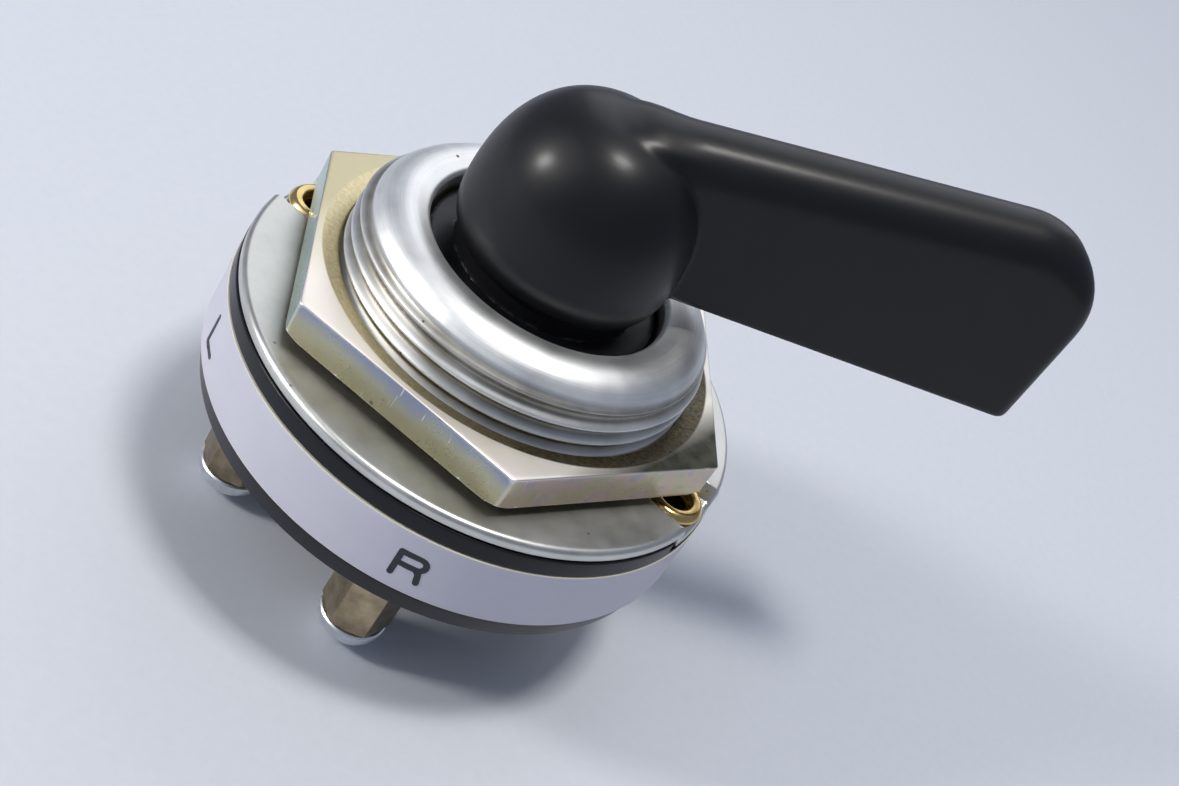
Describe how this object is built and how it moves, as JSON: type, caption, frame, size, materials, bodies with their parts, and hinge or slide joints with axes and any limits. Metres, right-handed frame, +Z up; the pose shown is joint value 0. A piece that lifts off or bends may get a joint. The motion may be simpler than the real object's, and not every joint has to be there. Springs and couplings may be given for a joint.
{
  "type": "rotary lever switch",
  "caption": "Panel-mounted rotary lever switch: black lever in a rounded plated bush, hexagon panel nut, round black moulding with a pale printed band, brass terminals below.",
  "frame": {"origin": "centre of the moulding's flat rear face, on the spindle's axis", "axes": "+Z runs up the spindle towards the lever; +X is the way the lever points at rest; +Y completes the right-handed frame"},
  "size_m": [0.0649, 0.045, 0.0522],
  "materials": {
    "phenolic": "satin",
    "lever_plastic": "satin",
    "printed_band": "matte",
    "bright_zinc": "satin",
    "yellow_passivate": "satin",
    "brass": "satin",
    "plated_steel": "polished",
    "spring_steel": "satin",
    "bronze": "satin",
    "fibre": "matte"
  },
  "bodies": {
    "body": {"base_moulding": "phenolic", "cover_plate": "bright_zinc", "detent_ring": "spring_steel", "eyelet_front": "brass", "eyelet_rear": "brass", "fibre_washer": "fibre", "fixed_contact_feed": "bronze", "fixed_contact_left": "bronze", "fixed_contact_right": "bronze", "friction_washer": "spring_steel", "label_band": "printed_band", "panel_nut": "yellow_passivate", "terminal_pillar_feed": "brass", "terminal_pillar_left": "brass", "terminal_pillar_right": "brass", "terminal_screw_feed": "plated_steel", "terminal_screw_left": "plated_steel", "terminal_screw_right": "plated_steel", "threaded_bush": "bright_zinc"},
    "lever_body": {"contact_spring": "spring_steel", "detent_ball_0": "spring_steel", "detent_ball_180": "spring_steel", "detent_spring_0": "spring_steel", "detent_spring_180": "spring_steel", "grub_screw": "plated_steel", "lever": "lever_plastic", "moving_contact": "bronze", "rotor": "phenolic", "rotor_screw": "plated_steel", "spindle": "plated_steel"}
  },
  "joints": [
    {"name": "lever_turn", "type": "hinge", "parent": "body", "child": "lever_body", "pos_m": [0, 0, 0], "axis": [0, 0, 1], "range_deg": [0, 90]}
  ]
}
